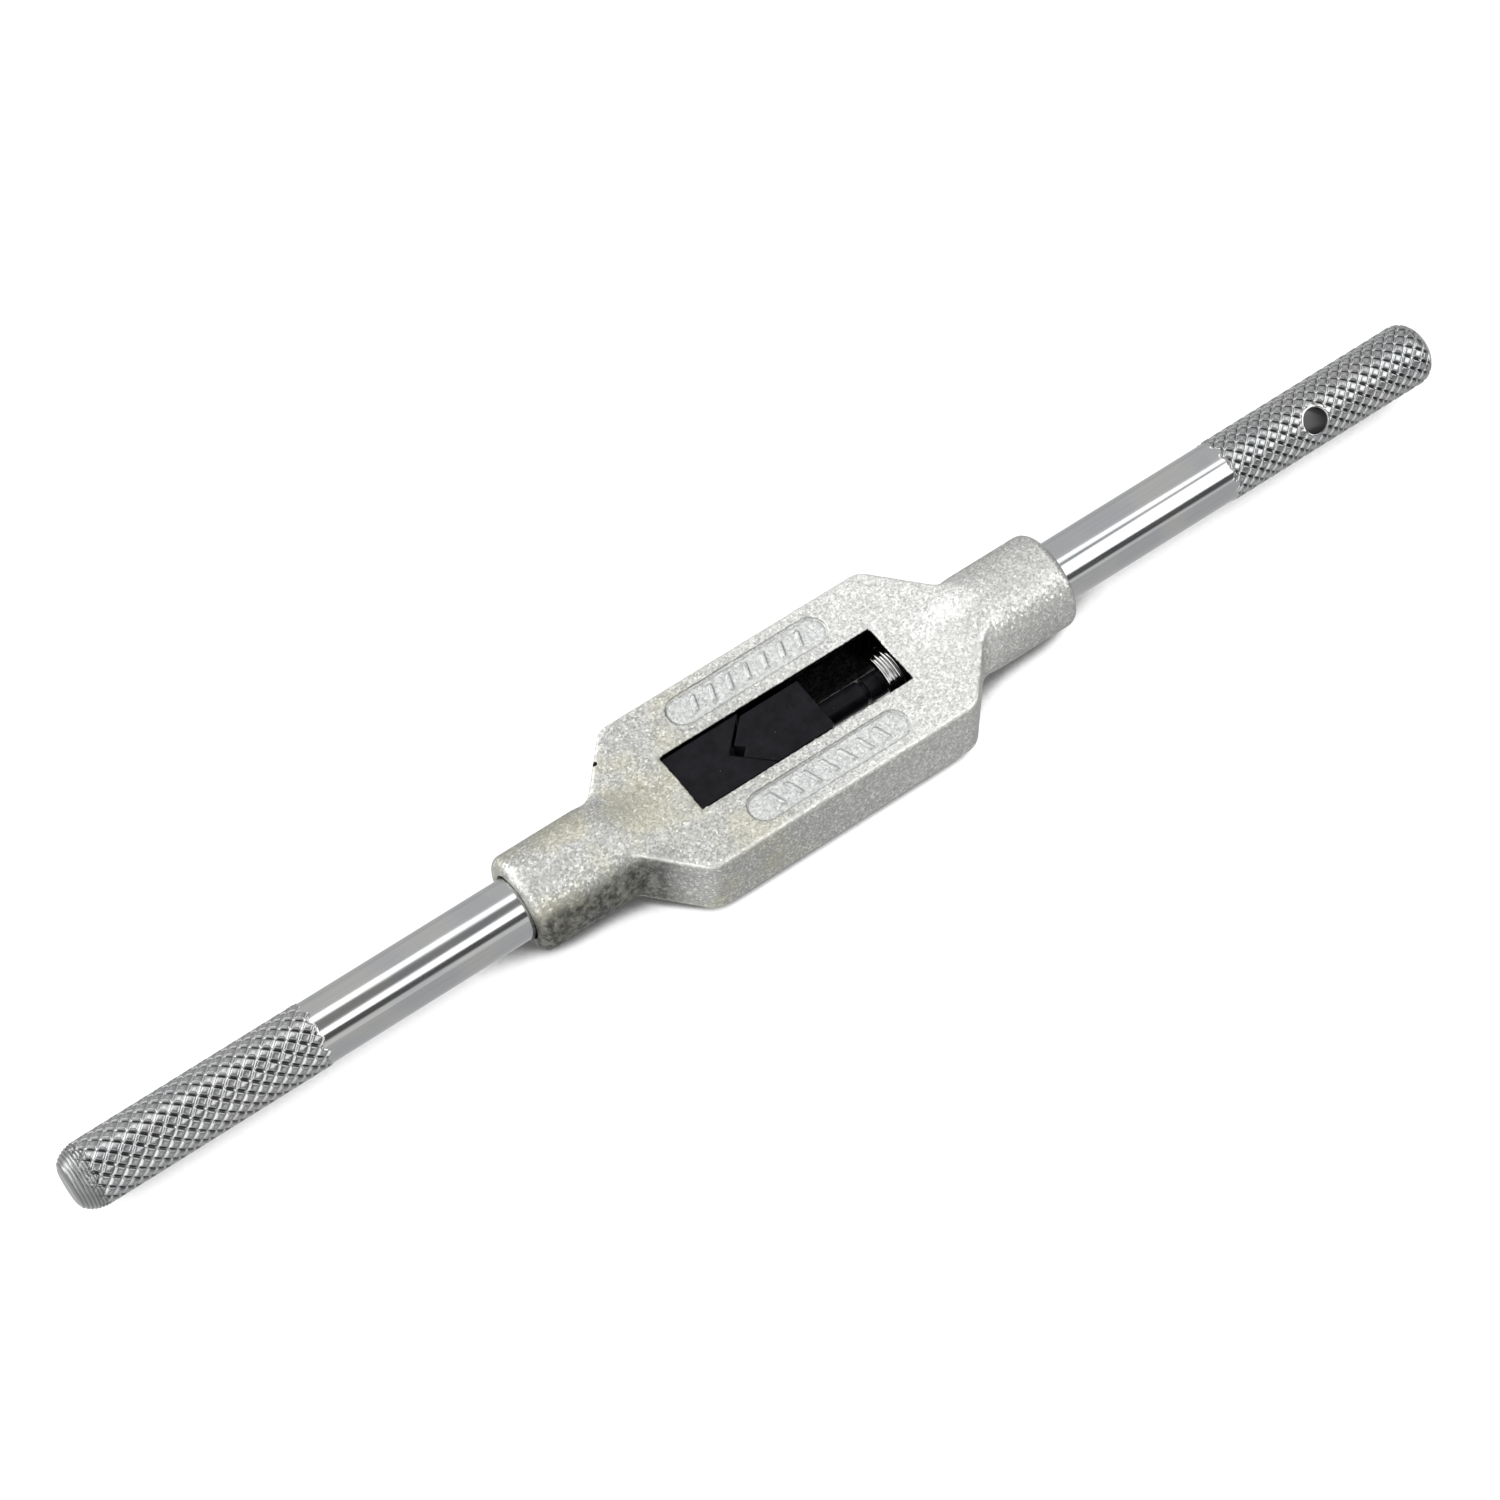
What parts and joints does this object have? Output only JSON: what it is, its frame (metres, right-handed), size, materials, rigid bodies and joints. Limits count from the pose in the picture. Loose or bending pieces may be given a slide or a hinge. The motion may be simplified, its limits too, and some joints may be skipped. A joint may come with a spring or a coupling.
{
  "type": "adjustable tap wrench",
  "caption": "Two-handle tap wrench: a cast body with a window, a fixed and a sliding V jaw, and a knurled handle whose screw moves the jaw.",
  "frame": {"origin": "middle of the wrench's length, on the axis of the two handles", "axes": "+X along the handle axis towards the adjusting handle, +Z out of the plate's panelled face, where the tap's shank goes"},
  "size_m": [0.1788, 0.022, 0.0114],
  "materials": {
    "cast_zinc": "cast, fine bright grain",
    "plated_steel": "bright plated, knurled ends",
    "black_steel": "black oxide, satin",
    "pin_steel": "ground"
  },
  "bodies": {
    "frame": {"body": "cast_zinc", "fixed_handle": "plated_steel", "fixed_jaw": "black_steel", "fixed_jaw_pin": "pin_steel"},
    "sliding_jaw": {"moving_jaw": "black_steel", "swivel_pin": "pin_steel"},
    "screw": {"spindle": "black_steel", "adjusting_handle": "plated_steel"}
  },
  "joints": [
    {"name": "jaw_slide", "type": "slide", "parent": "frame", "child": "sliding_jaw", "axis": [1, 0, 0], "range_m": [0, 0.00937]},
    {"name": "handle_turn", "type": "hinge", "parent": "sliding_jaw", "child": "screw", "pos_m": [0, 0, 0], "axis": [1, 0, 0], "range_deg": [0, 4500.1]}
  ],
  "couplings": [
    {"joint": "handle_turn", "follows": "jaw_slide", "rad_per_m": 8377.6}
  ]
}
